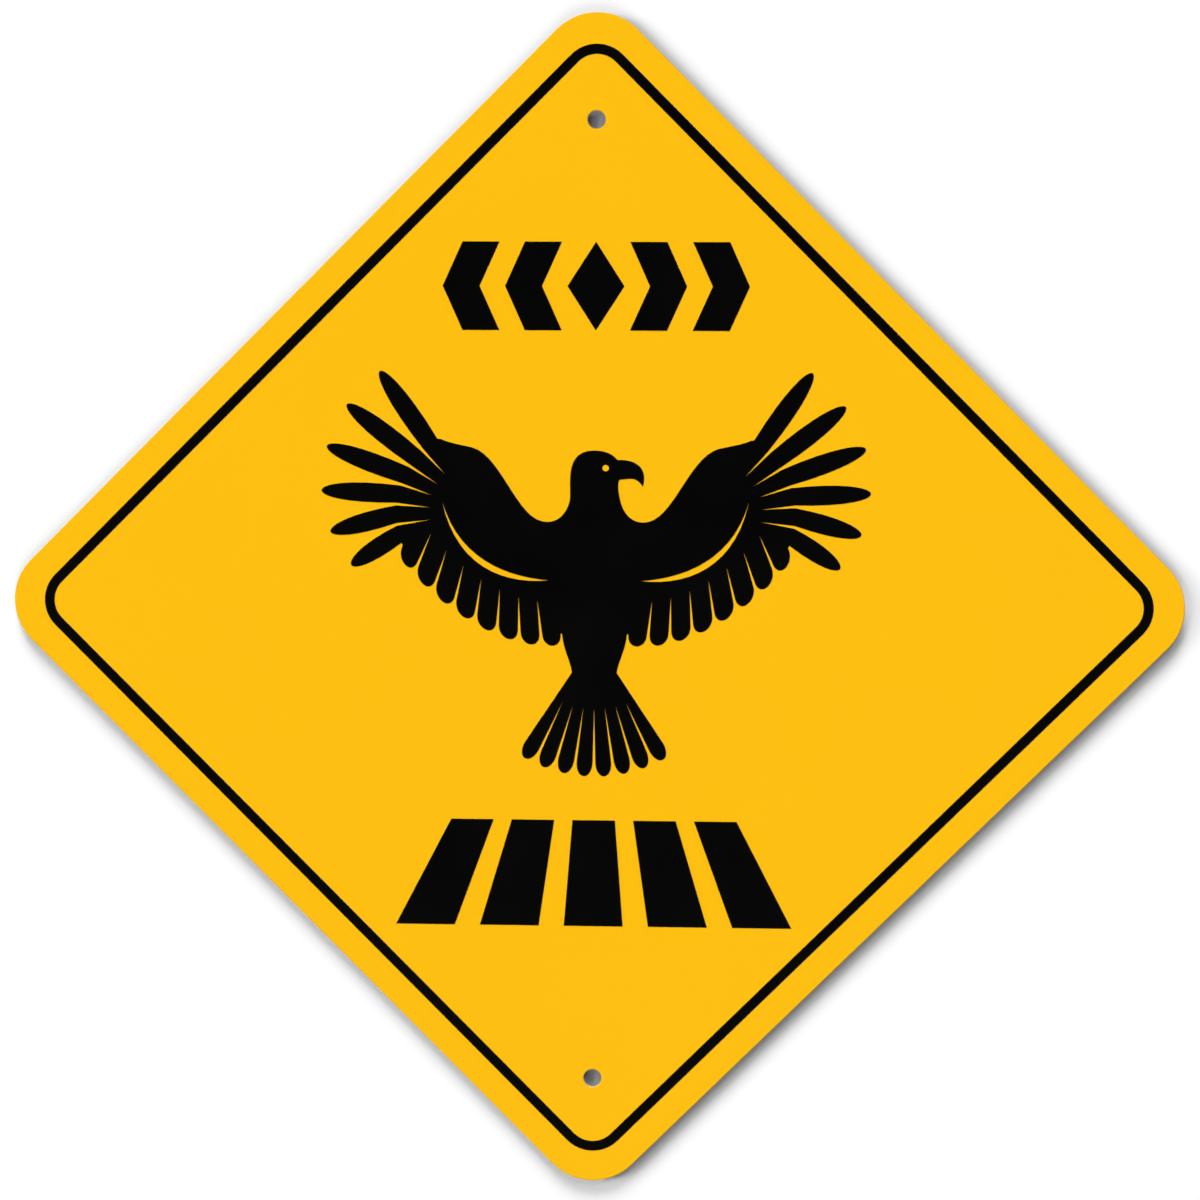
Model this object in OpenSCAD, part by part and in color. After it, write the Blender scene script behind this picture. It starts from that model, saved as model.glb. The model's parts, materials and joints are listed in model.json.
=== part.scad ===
// Diamond warning sign: a punched aluminium sheet with a printed yellow face.
// It stands on one corner: X across, Z up, the printed face toward -Y.
// The origin is on the back face, midway between the two mounting holes.

/* [Sheet] */
// Side of the square sheet
side = 304.8; // [290:0.1:762]
// Thickness of the aluminium
sheet_t = 1.0; // [0.6:0.05:3]
// Radius of the sheet's four corners
corner_r = 20; // [8:0.5:38]
// Radius that the punch rolls onto the front side of every edge
edge_roll = 0.25; // [0.1:0.05:0.5]

/* [Mounting holes] */
// Diameter of the two punched holes
hole_d = 6.35; // [4:0.05:12]
// From the sheet's sharp corner to the middle of the hole, along the diagonal
hole_inset = 45.5; // [32:0.5:70]

/* [Yellow face] */
// Thickness of the yellow coat
coat_t = 0.1; // [0.05:0.01:0.4]

/* [Black print] */
// Thickness of the black ink
ink_t = 0.1; // [0.05:0.01:0.3]
// From the sheet's edge to the outside of the border line
border_inset = 9.85; // [5:0.05:16]
// Width of the border line
border_w = 3.5; // [1:0.1:8]
// Outer radius of the border line's corners
border_r = 12.75; // [9:0.25:25]

/* [Bird] */
// From wing tip to wing tip
bird_span = 194; // [120:1:230]
// Height of the bird's breast above the middle of the sign
bird_rise = 10; // [0:1:20]
// Long feathers that spread at each wing tip
finger_count = 6; // [4:1:8]
// Short feathers along the back of each wing
scallop_count = 8; // [4:1:12]
// Feathers in each half of the tail
tail_feather_count = 4; // [2:1:6]

/* [Upper marks] */
// From the sheet's sharp top corner down to the middle of the row
marks_drop = 103.5; // [95:0.5:120]
// Height of each mark
mark_h = 31; // [15:0.5:34]
// Width of each mark
mark_w = 20; // [10:0.5:22]
// Width of a chevron's arm, measured across the sign
mark_arm = 13; // [4:0.5:14]
// From the middle of one mark to the middle of the next
mark_pitch = 22; // [21:0.5:24]
// Chevrons on each side of the middle mark
chevron_count = 2; // [1:1:2]

/* [Lower bars] */
// From the sheet's sharp bottom corner up to the middle of the bars
bars_rise = 119.5; // [116:0.5:126]
// Height of the bars
bars_h = 38; // [15:0.5:40]
// Width of each bar at its foot
bar_w = 21; // [8:0.5:22]
// Gap between two bars at their feet
bar_gap = 9; // [4:0.5:11]
// Number of bars
bar_count = 5; // [3:1:5]
// Width at the top as a share of the width at the foot
bars_taper = 0.72; // [0.4:0.01:1]

/* [Hidden] */
$fn = 96;
corner_span = side - 2 * corner_r;
corner_reach = side / sqrt(2);
hole_up = corner_reach - hole_inset;
face_z = sheet_t + coat_t;
cut_past = 1;
curve_steps = 14;
feather_steps = 20;
feather_crowding = 1.3;

// Turns what lies flat with its face up into the upright frame, face toward -Y
module upright() {
    rotate([90, 0, 0])
        children();
}

// Sweeps a section round a square that stands on one corner and has round corners.
// Their centres are centre_span apart, and the section's x is measured outward from them.
module round_square(centre_span) {
    for (quarter = [0:3])
        rotate([0, 0, 45 + 90 * quarter]) {
            translate([centre_span / 2, centre_span / 2, 0])
                rotate_extrude(angle = 90)
                    children();
            translate([centre_span / 2, centre_span / 2, 0])
                rotate([90, 0, 0])
                    linear_extrude(height = centre_span)
                        children();
        }
}

// A flat layer of the sheet: its square middle, and the section that is swept round it
module plate(t) {
    rotate([0, 0, 45])
        translate([-corner_span / 2, -corner_span / 2, 0])
            cube([corner_span, corner_span, t]);
    round_square(corner_span)
        children();
}

// Half of a sheet's section, from a corner's centre to an edge whose top is rolled
module rolled_section(r, t, roll) {
    square([r - roll, t]);
    square([r, t - roll]);
    translate([r - roll, t - roll])
        circle(roll);
}

// What the punch takes out for one hole, with the roll that it leaves at the top
module punch_cut(r, t, roll) {
    translate([0, 0, -cut_past])
        cylinder(r = r, h = t + 2 * cut_past);
    rotate_extrude()
        difference() {
            translate([0, t - roll])
                square([r + roll, roll + cut_past]);
            translate([r + roll, t - roll])
                circle(roll);
        }
}

module at_holes() {
    for (end = [-1, 1])
        translate([0, end * hole_up, 0])
            children();
}

module aluminium_blank() {
    color("silver")
        upright()
            difference() {
                plate(sheet_t)
                    rolled_section(corner_r, sheet_t, edge_roll);
                at_holes()
                    punch_cut(hole_d / 2, sheet_t, edge_roll);
            }
}

// The coat stops where the roll of each edge and hole starts
module yellow_face() {
    color("gold")
        upright()
            translate([0, 0, sheet_t])
                difference() {
                    plate(coat_t)
                        square([corner_r - edge_roll, coat_t]);
                    at_holes()
                        translate([0, 0, -cut_past])
                            cylinder(d = hole_d + 2 * edge_roll, h = coat_t + 2 * cut_past);
                }
}

// Black ink on the yellow face, open where the holes are
module ink() {
    color("black")
        upright()
            translate([0, 0, face_z])
                difference() {
                    children();
                    at_holes()
                        translate([0, 0, -cut_past])
                            cylinder(d = hole_d + 2 * edge_roll, h = ink_t + 2 * cut_past);
                }
}

module border_line() {
    ink()
        round_square(side - 2 * border_inset - 2 * border_r)
            translate([border_r - border_w, 0])
                square([border_w, ink_t]);
}

// The point that lies a share of the way along a cubic curve, whose bend is its two control points
function curve_point(from, bend, to, share) =
    let (rest = 1 - share)
        rest * rest * rest * from
            + 3 * rest * rest * share * bend[0]
            + 3 * rest * share * share * bend[1]
            + share * share * share * to;

// A cubic curve's points, without its last one
function curve(from, bend, to) = [
    for (step = [0:curve_steps - 1])
        curve_point(from, bend, to, step / curve_steps)
];

function heading(angle) = [cos(angle), sin(angle)];

function unit(v) = v / norm(v);

function flat(lists) = [for (list = lists) for (item = list) item];

// Moves a share of the way toward its middle, so that a feather's points crowd at its tip
function crowded(share) =
    let (past_middle = 2 * share - 1)
        (1 + sign(past_middle) * pow(abs(past_middle), feather_crowding)) / 2;

// One feather between two notches: it reaches out along an angle, swells by a share of its width
// on the way and ends in a round tip
function feather(notch_a, notch_b, angle, reach, swell) =
    let (
        aside = slit_w / 2 * unit(notch_b - notch_a),
        out = 4 / 3 * reach * heading(angle),
        bulge = swell * (notch_b - notch_a),
        from = notch_a + aside,
        to = notch_b - aside
    )
        [
            for (step = [0:feather_steps])
                curve_point(from, [from + out - bulge, to + out + bulge], to, crowded(step / feather_steps))
        ];

// A row of feathers, with a narrow slit at each notch between two of them that runs toward its root
function feather_row(notches, angles, reaches, swell, roots, slit_l) = flat([
    for (i = [0:len(angles) - 1])
        concat(
            feather(notches[i], notches[i + 1], angles[i], reaches[i], swell),
            i < len(angles) - 1 ? [notches[i + 1] + slit_l * unit(roots[i] - notches[i + 1])] : []
        )
]);

// The figure's outline is drawn in these units and then brought to its span
slit_w = 1.2;
nape_bend = [[-9.7, 37.2], [-14.5, 54]];
crown = [-0.5, 54];
forehead_bend = [[4.5, 54], [7.5, 52.5]];
brow = [9.5, 50];
beak_bend = [[17, 50.5], [23, 47]];
beak_tip = [20.5, 38.5];
hook_bend = [[18, 43], [15, 42]];
mouth = [10.5, 41.5];
throat_bend = [[9.5, 39.5], [10, 36]];
neck = [11, 32];
eye = [4.5, 46.5];
eye_r = 1.4;
neck_bend = [[12.2, 27.2], [16, 21.9]];
shoulder = [23, 23.5];
arm_bend = [[34, 26], [41, 52]];
wrist = [53, 55];
wrist_bend = [[58, 56.25], [64, 57]];
hand_centre = [49, 27];
hand_r = 37;
hand_from = 60;
hand_to = -22;
finger_from = 55;
finger_to = -32;
finger_l = 38;
finger_loss = 0.35;
finger_swell = 0.35;
finger_slit_l = 15;
armpit = [14, -25];
wing_back_bend = [[66, -10], [38, -29]];
scallop_from = -62;
scallop_to = -96;
scallop_l = 5;
scallop_slit_l = 15;
wing_middle = 60;
covert_root = [20, -2];
covert_bend = [[40, -4], [60, 4]];
covert_tip = [66, 32];
covert_bow = [-1, 3.5];
flank_bend = [[13.5, -32], [10, -37]];
tail_root = [9.5, -43];
tail_centre = [0, -25];
tail_r = 56;
tail_half_angle = 33;
tail_tip_l = 6;
tail_slit_l = 24;

function hand_notches() = [
    for (i = [0:finger_count])
        hand_centre + hand_r * heading(hand_from + (hand_to - hand_from) * i / finger_count)
];

function fingers() =
    let (
        notches = hand_notches(),
        shares = [for (i = [0:finger_count - 1]) i / (finger_count - 1)]
    )
        feather_row(
            notches,
            [for (share = shares) finger_from + (finger_to - finger_from) * share],
            [for (share = shares) finger_l * (1 - finger_loss * share * share)],
            finger_swell,
            [for (i = [1:finger_count - 1]) hand_centre],
            finger_slit_l
        );

function scallops() =
    let (
        wing_end = hand_notches()[finger_count],
        notches = [
            for (i = [0:scallop_count])
                curve_point(wing_end, wing_back_bend, armpit, i / scallop_count)
        ],
        angles = [
            for (i = [0:scallop_count - 1])
                scallop_from + (scallop_to - scallop_from) * i / (scallop_count - 1)
        ]
    )
        feather_row(
            notches,
            angles,
            [for (angle = angles) scallop_l],
            0,
            [for (i = [1:scallop_count - 1]) notches[i] - wing_middle * heading(angles[i])],
            scallop_slit_l
        );

function tail_angle(i) = -90 + tail_half_angle * (1 - i / tail_feather_count);

function tail_feathers() =
    feather_row(
        [for (i = [0:tail_feather_count]) tail_centre + tail_r * heading(tail_angle(i))],
        [for (i = [0:tail_feather_count - 1]) tail_angle(i + 0.5)],
        [for (i = [0:tail_feather_count - 1]) tail_tip_l],
        0,
        [for (i = [1:tail_feather_count - 1]) tail_centre],
        tail_slit_l
    );

// From the neck round the right wing to the end of the tail
function half_outline() = concat(
    curve(neck, neck_bend, shoulder),
    curve(shoulder, arm_bend, wrist),
    curve(wrist, wrist_bend, hand_notches()[0]),
    fingers(),
    scallops(),
    curve(armpit, flank_bend, tail_root),
    tail_feathers(),
    [tail_centre - (tail_r - tail_slit_l) * [0, 1]]
);

// The same on the left, back up to just before the neck
function mirrored(points) = [for (i = [len(points) - 2:-1:1]) [-points[i].x, points[i].y]];

// The head in profile, from the left of the neck over the crown and the hooked beak to its right
function head_outline() = concat(
    curve([-neck.x, neck.y], nape_bend, crown),
    curve(crown, forehead_bend, brow),
    curve(brow, beak_bend, beak_tip),
    curve(beak_tip, hook_bend, mouth),
    curve(mouth, throat_bend, neck)
);

// The bare crescent between a wing's long feathers and the short ones that cover their roots
function covert_crescent() = concat(
    curve(covert_root, covert_bend, covert_tip),
    curve(covert_tip, [covert_bend[1] + covert_bow, covert_bend[0] + covert_bow], covert_root)
);

module bird_figure() {
    half = half_outline();
    drawn_span = 2 * max([for (point = half) point.x]);
    ink()
        translate([0, bird_rise, 0])
            scale(bird_span / drawn_span)
                linear_extrude(height = ink_t * drawn_span / bird_span)
                    difference() {
                        polygon(concat(half, mirrored(half), head_outline()));
                        for (way = [0, 1])
                            mirror([way, 0])
                                polygon(covert_crescent());
                        translate(eye)
                            circle(eye_r);
                    }
}

module chevron() {
    polygon([
        [-mark_w / 2, mark_h / 2],
        [-mark_w / 2 + mark_arm, mark_h / 2],
        [mark_w / 2, 0],
        [-mark_w / 2 + mark_arm, -mark_h / 2],
        [-mark_w / 2, -mark_h / 2],
        [mark_w / 2 - mark_arm, 0]
    ]);
}

module upper_marks() {
    ink()
        translate([0, corner_reach - marks_drop, 0])
            linear_extrude(height = ink_t) {
                polygon([[0, mark_h / 2], [mark_w / 2, 0], [0, -mark_h / 2], [-mark_w / 2, 0]]);
                for (way = [0, 1], i = [1:chevron_count])
                    mirror([way, 0])
                        translate([i * mark_pitch, 0])
                            chevron();
            }
}

module lower_bars() {
    bar_pitch = bar_w + bar_gap;
    foot_w = bar_count * bar_pitch - bar_gap;
    ink()
        translate([0, bars_rise - corner_reach, 0])
            linear_extrude(height = ink_t)
                for (i = [0:bar_count - 1]) {
                    left = i * bar_pitch - foot_w / 2;
                    right = left + bar_w;
                    polygon([
                        [left, -bars_h / 2],
                        [right, -bars_h / 2],
                        [right * bars_taper, bars_h / 2],
                        [left * bars_taper, bars_h / 2]
                    ]);
                }
}

aluminium_blank();
yellow_face();
border_line();
bird_figure();
upper_marks();
lower_bars();
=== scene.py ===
import json
import math

import bpy
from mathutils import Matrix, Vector


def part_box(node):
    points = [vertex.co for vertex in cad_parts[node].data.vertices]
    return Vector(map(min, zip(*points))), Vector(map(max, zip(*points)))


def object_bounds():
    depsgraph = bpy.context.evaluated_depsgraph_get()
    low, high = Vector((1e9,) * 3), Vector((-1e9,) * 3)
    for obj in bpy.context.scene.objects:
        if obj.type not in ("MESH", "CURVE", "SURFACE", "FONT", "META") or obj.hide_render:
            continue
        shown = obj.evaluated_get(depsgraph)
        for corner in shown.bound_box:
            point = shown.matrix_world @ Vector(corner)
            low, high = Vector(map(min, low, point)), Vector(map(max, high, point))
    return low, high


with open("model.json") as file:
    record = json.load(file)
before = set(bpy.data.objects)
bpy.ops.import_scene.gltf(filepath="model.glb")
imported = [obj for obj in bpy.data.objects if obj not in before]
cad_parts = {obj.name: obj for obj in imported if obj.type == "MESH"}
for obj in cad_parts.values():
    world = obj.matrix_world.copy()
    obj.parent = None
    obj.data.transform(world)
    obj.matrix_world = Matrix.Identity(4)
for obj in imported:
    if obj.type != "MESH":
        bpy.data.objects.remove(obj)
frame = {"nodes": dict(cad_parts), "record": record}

MM = 0.001

# What the frame says of the sheet
CAD_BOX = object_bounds()
BLANK_LOW, BLANK_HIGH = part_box("aluminium_blank")
COAT_LOW, COAT_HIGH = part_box("yellow_face")
SHEET_T = BLANK_HIGH.y - BLANK_LOW.y
EDGE_ROLL = BLANK_HIGH.x - COAT_HIGH.x
PAINT_STOPS_Y = EDGE_ROLL - SHEET_T

# The photograph's view, with lengths in metres and angles in degrees
CAMERA_PLACE = (0.06436, -1.19290, 0.09723)
CAMERA_TURN = (85.416, -0.259, 3.020)
CAMERA_LENS_MM = 101.6
SENSOR_MM = 36.0
CAMERA_NEAR, CAMERA_FAR = 0.01, 100.0

# The room, in metres
WALL_GAP = 3.5 * MM
WALL_SIZE = 6.0
FLOOR_DROP = 0.02
FLOOR_SIZE = 40.0
FLAG_SIZE = 1.6
FLAG_PLACE = (0.0, -2.0, 0.1)
CARD_SIZE = 8.0
CARD_PLACE = (0.0, 2.2, 0.0)
CARD_DARK_BELOW = -1.6
CARD_WHITE_ABOVE = 0.7

# The light: where each soft lamp stands, as metres across and up for a metre out from the sign,
# then its spread in degrees and its strength
LAMPS = {
    "top": ((-0.16, 1.70), 25.8, 2.39),
    "left": ((-1.68, 0.17), 22.6, 1.27),
    "low": ((0.03, -0.89), 31.7, 0.69),
    "fill": ((-0.77, 0.15), 16.4, 0.56),
    "high": ((0.13, 0.69), 12.9, 0.37),
}
AMBIENT = 0.02
FLOOR_GLOW = 0.60
CARD_DARK_GLOW = 0.45

# Colours, linear
SIGN_YELLOW = (0.988, 0.519, 0.0055, 1.0)
YELLOW_DARKER = (0.978, 0.511, 0.0055, 1.0)
INK_BLACK = (0.0008, 0.0008, 0.0008, 1.0)
INK_WARM = (0.0014, 0.0013, 0.0012, 1.0)
METAL_LIGHT = (0.70, 0.71, 0.72, 1.0)
METAL_DARK = (0.55, 0.56, 0.575, 1.0)
WHITE = (1.0, 1.0, 1.0, 1.0)
FLOOR_GREY = (0.55, 0.55, 0.55, 1.0)
FLAG_BLACK = (0.02, 0.02, 0.02, 1.0)

# Gloss: the ranges that roughness varies over, and the shaders' specular levels
COAT_ROUGHNESS = (0.40, 0.48)
INK_ROUGHNESS = (0.34, 0.44)
METAL_ROUGHNESS = (0.24, 0.34)
METAL_CLOUDING = 0.06
COAT_SPECULAR = 0.12
INK_SPECULAR = 0.04
EDGE_SPECULAR = 0.15
BRUSHED = 0.45

# The metal's streaks to the metre, along the grain, through the sheet and across the grain
GRAIN = (9.0, 400.0, 2600.0)
LINES = (4.0, 100.0, 700.0)
BANDS = (1.5, 30.0, 60.0)
GRAIN_TURN = 45

# How much of the metal's streaking is fine grain, and how much of the rest is broad bands
GRAIN_SHARE = 0.4
BAND_SHARE = 0.3

# Where nearly all of a noise texture's values lie
NOISE_RANGE = (0.3, 0.7)


def add(tree, kind, sockets=None, **settings):
    """A new node with its settings, and its sockets set to values or linked to other sockets."""
    node = tree.nodes.new(kind)
    for name, value in settings.items():
        setattr(node, name, value)
    for name, value in (sockets or {}).items():
        if isinstance(value, bpy.types.NodeSocket):
            tree.links.new(value, node.inputs[name])
        else:
            node.inputs[name].default_value = value
    return node


def new_material(name):
    """An empty material, its tree and its output node."""
    material = bpy.data.materials.new(name)
    material.use_nodes = True
    tree = material.node_tree
    tree.nodes.clear()
    return material, tree, add(tree, "ShaderNodeOutputMaterial")


def object_place(tree):
    return add(tree, "ShaderNodeTexCoord").outputs["Object"]


def noise(tree, place, scale, detail=2.0, roughness=0.5):
    """Noise from about 0 to 1, with `scale` features to the metre."""
    sockets = {"Vector": place, "Scale": scale, "Detail": detail, "Roughness": roughness}
    return add(tree, "ShaderNodeTexNoise", sockets).outputs["Fac"]


def streaks_of(tree, place, per_metre):
    """The place scaled by its own number on each axis, so that noise there runs out into streaks."""
    scaled = add(tree, "ShaderNodeVectorMath", {0: place, 1: per_metre}, operation="MULTIPLY")
    return scaled.outputs["Vector"]


def spread(tree, value, low, high):
    """Brings a noise value to the range from low to high."""
    least, most = NOISE_RANGE
    sockets = {"Value": value, "From Min": least, "From Max": most, "To Min": low, "To Max": high}
    return add(tree, "ShaderNodeMapRange", sockets).outputs["Result"]


def mix_colour(tree, share, a, b):
    node = add(tree, "ShaderNodeMix", {"Factor": share}, data_type="RGBA")
    for name, value in (("A_Color", a), ("B_Color", b)):
        socket = next(s for s in node.inputs if s.identifier == name)
        if isinstance(value, bpy.types.NodeSocket):
            tree.links.new(value, socket)
        else:
            socket.default_value = value
    return next(s for s in node.outputs if s.identifier == "Result_Color")


def mix_value(tree, share, a, b):
    sockets = {"Value": share, "To Min": a, "To Max": b}
    return add(tree, "ShaderNodeMapRange", sockets).outputs["Result"]


def calculate(tree, operation, a, b, clamp=False):
    node = add(tree, "ShaderNodeMath", {0: a, 1: b}, operation=operation, use_clamp=clamp)
    return node.outputs["Value"]


def coat_look(tree, place):
    """Colour, roughness and height of the yellow coat."""
    mottle = spread(tree, noise(tree, place, 9.0), 0.0, 1.0)
    colour = mix_colour(tree, mottle, SIGN_YELLOW, YELLOW_DARKER)
    roughness = spread(tree, noise(tree, place, 60.0), *COAT_ROUGHNESS)
    return colour, roughness, noise(tree, place, 650.0, 3.0)


def yellow_coat():
    material, tree, output = new_material("yellow_coat")
    colour, roughness, height = coat_look(tree, object_place(tree))
    bump = add(tree, "ShaderNodeBump", {"Height": height, "Strength": 0.12, "Distance": 0.03 * MM})
    shader = add(tree, "ShaderNodeBsdfPrincipled", {
        "Base Color": colour,
        "Roughness": roughness,
        "Specular IOR Level": COAT_SPECULAR,
        "Normal": bump.outputs["Normal"],
    })
    tree.links.new(shader.outputs["BSDF"], output.inputs["Surface"])
    return material


def black_ink():
    material, tree, output = new_material("black_ink")
    place = object_place(tree)
    shade = spread(tree, noise(tree, place, 25.0), 0.0, 1.0)
    height = noise(tree, place, 900.0, 3.0)
    bump = add(tree, "ShaderNodeBump", {"Height": height, "Strength": 0.15, "Distance": 0.03 * MM})
    shader = add(tree, "ShaderNodeBsdfPrincipled", {
        "Base Color": mix_colour(tree, shade, INK_BLACK, INK_WARM),
        "Roughness": spread(tree, noise(tree, place, 45.0, 3.0), *INK_ROUGHNESS),
        "Specular IOR Level": INK_SPECULAR,
        "Normal": bump.outputs["Normal"],
    })
    tree.links.new(shader.outputs["BSDF"], output.inputs["Surface"])
    return material


def bare_aluminium():
    """Mill-finish sheet with its rolling grain along one pair of sides.

    The coat wraps the front's rolled edge, so that part has the coat's look.
    """
    material, tree, output = new_material("bare_aluminium")
    place = object_place(tree)
    along_side = add(tree, "ShaderNodeVectorRotate", {
        "Vector": place, "Axis": (0.0, 1.0, 0.0), "Angle": math.radians(GRAIN_TURN),
    }).outputs["Vector"]
    grain = noise(tree, streaks_of(tree, along_side, GRAIN), 1.0, 3.0, 0.6)
    lines = noise(tree, streaks_of(tree, along_side, LINES), 1.0)
    bands = noise(tree, streaks_of(tree, along_side, BANDS), 1.0)
    streaks = mix_value(tree, GRAIN_SHARE, mix_value(tree, BAND_SHARE, lines, bands), grain)
    cloud = spread(tree, noise(tree, place, 14.0, 4.0, 0.6), 0.0, METAL_CLOUDING)
    metal = mix_colour(tree, spread(tree, streaks, 0.0, 1.0), METAL_DARK, METAL_LIGHT)
    metal_roughness = calculate(tree, "ADD", spread(tree, streaks, *METAL_ROUGHNESS), cloud)

    depth = add(tree, "ShaderNodeSeparateXYZ", {"Vector": place}).outputs["Y"]
    painted = calculate(tree, "LESS_THAN", depth, PAINT_STOPS_Y)
    paint, paint_roughness, paint_height = coat_look(tree, place)
    height = mix_value(tree, painted, grain, paint_height)
    bump = add(tree, "ShaderNodeBump", {"Height": height, "Strength": 0.25, "Distance": 0.02 * MM})
    shader = add(tree, "ShaderNodeBsdfPrincipled", {
        "Base Color": mix_colour(tree, painted, metal, paint),
        "Metallic": calculate(tree, "SUBTRACT", 1.0, painted),
        "Roughness": mix_value(tree, painted, metal_roughness, paint_roughness),
        "Specular IOR Level": EDGE_SPECULAR,
        "Anisotropic": BRUSHED,
        "Tangent": add(tree, "ShaderNodeCombineXYZ", {"X": 1.0, "Z": 1.0}).outputs["Vector"],
        "Normal": bump.outputs["Normal"],
    })
    tree.links.new(shader.outputs["BSDF"], output.inputs["Surface"])
    return material


def dress_nodes():
    """Gives each CAD node the finish that the record's slot for it names."""
    finishes = {
        "bare_aluminium": bare_aluminium(),
        "yellow_coat": yellow_coat(),
        "black_ink": black_ink(),
    }
    slots = {part["node"]: part["material_slot"] for part in frame["record"]["subparts"]}
    for name, node in frame["nodes"].items():
        node.data.materials.clear()
        node.data.materials.append(finishes[slots[name]])


def background_rays(tree):
    """1 for a camera, glossy or transmission ray that no matt surface has scattered, else 0."""
    rays = add(tree, "ShaderNodeLightPath").outputs
    shown = calculate(tree, "MAXIMUM", rays["Is Camera Ray"], rays["Is Glossy Ray"])
    shown = calculate(tree, "MAXIMUM", shown, rays["Is Transmission Ray"])
    return calculate(tree, "SUBTRACT", shown, rays["Diffuse Depth"], clamp=True)


def glow_of(tree, strength):
    """White light that only background rays see."""
    seen = calculate(tree, "MULTIPLY", background_rays(tree), strength)
    return add(tree, "ShaderNodeEmission", {"Color": WHITE, "Strength": seen}).outputs["Emission"]


def stage_material(name, colour, glow=0.0, one_sided=False):
    """A matt surface, with a little of its own light where it has to read as white."""
    material, tree, output = new_material(name)
    lit = add(tree, "ShaderNodeBsdfDiffuse", {"Color": colour}).outputs["BSDF"]
    if glow:
        lit = add(tree, "ShaderNodeAddShader", {0: lit, 1: glow_of(tree, glow)}).outputs["Shader"]
    if one_sided:
        lit = add(tree, "ShaderNodeMixShader", {
            0: add(tree, "ShaderNodeNewGeometry").outputs["Backfacing"],
            1: lit,
            2: add(tree, "ShaderNodeBsdfTransparent").outputs["BSDF"],
        }).outputs["Shader"]
    tree.links.new(lit, output.inputs["Surface"])
    return material


def card_material():
    """A card that is darker low down and fades to white higher up, to shade what reflects it."""
    material, tree, output = new_material("card_fade")
    place = add(tree, "ShaderNodeNewGeometry").outputs["Position"]
    fade = add(tree, "ShaderNodeMapRange", {
        "Value": add(tree, "ShaderNodeSeparateXYZ", {"Vector": place}).outputs["Z"],
        "From Min": CARD_DARK_BELOW,
        "From Max": CARD_WHITE_ABOVE,
        "To Min": CARD_DARK_GLOW,
    }).outputs["Result"]
    tree.links.new(glow_of(tree, fade), output.inputs["Surface"])
    return material


def stage_plane(name, size, place, turn, material, hidden_from):
    """A square of the stage, left out of the kinds of ray that hidden_from names."""
    half = size / 2
    mesh = bpy.data.meshes.new(name)
    corners = [(-half, -half, 0), (half, -half, 0), (half, half, 0), (-half, half, 0)]
    mesh.from_pydata(corners, [], [(0, 1, 2, 3)])
    mesh.materials.append(material)
    plane = bpy.data.objects.new(name, mesh)
    plane.location = place
    plane.rotation_euler = turn
    for ray in hidden_from:
        setattr(plane, "visible_" + ray, False)
    bpy.context.scene.collection.objects.link(plane)


def make_stage():
    """A white wall just behind the sign, which shows only from the front, and a pale floor below it.

    Two screens show only in reflections: a dark flag behind the camera keeps the ink deep,
    and a card far behind the sign shades the bare metal.
    """
    upright, level = (math.pi / 2, 0, 0), (0, 0, 0)
    all_but_camera = ("diffuse", "glossy", "transmission", "shadow")
    all_but_glossy = ("camera", "diffuse", "transmission", "shadow")
    white = stage_material("wall_white", WHITE, one_sided=True)
    pale = stage_material("floor_pale", FLOOR_GREY, glow=FLOOR_GLOW)
    dark = stage_material("flag_dark", FLAG_BLACK)
    floor_place = (0, 0, CAD_BOX[0].z - FLOOR_DROP)
    stage_plane("wall", WALL_SIZE, (0, WALL_GAP, 0), upright, white, all_but_camera)
    stage_plane("floor", FLOOR_SIZE, floor_place, level, pale, ("diffuse", "glossy", "shadow"))
    stage_plane("flag", FLAG_SIZE, FLAG_PLACE, upright, dark, all_but_glossy)
    stage_plane("card", CARD_SIZE, CARD_PLACE, upright, card_material(), all_but_glossy)


def make_lights():
    """Soft lamps from above, the left and below, two nearer the front, and an even white world."""
    for name, ((across, up), spread_angle, strength) in LAMPS.items():
        lamp = bpy.data.lights.new(name, "SUN")
        lamp.energy = strength
        lamp.angle = math.radians(spread_angle)
        holder = bpy.data.objects.new(name, lamp)
        holder.rotation_euler = Vector((across, -1.0, up)).to_track_quat("Z", "Y").to_euler()
        holder.visible_glossy = False
        bpy.context.scene.collection.objects.link(holder)

    world = bpy.data.worlds.new("studio")
    world.use_nodes = True
    bpy.context.scene.world = world
    tree = world.node_tree
    tree.nodes.clear()
    strength = mix_value(tree, background_rays(tree), AMBIENT, 1.0)
    background = add(tree, "ShaderNodeBackground", {"Color": WHITE, "Strength": strength})
    output = add(tree, "ShaderNodeOutputWorld")
    tree.links.new(background.outputs["Background"], output.inputs["Surface"])


def make_camera():
    lens = bpy.data.cameras.new("camera")
    lens.sensor_width = SENSOR_MM
    lens.lens = CAMERA_LENS_MM
    lens.clip_start = CAMERA_NEAR
    lens.clip_end = CAMERA_FAR
    camera = bpy.data.objects.new("camera", lens)
    camera.location = CAMERA_PLACE
    camera.rotation_euler = [math.radians(angle) for angle in CAMERA_TURN]
    bpy.context.scene.collection.objects.link(camera)
    bpy.context.scene.camera = camera


dress_nodes()
make_stage()
make_lights()
make_camera()
bpy.context.scene.view_settings.view_transform = "Standard"
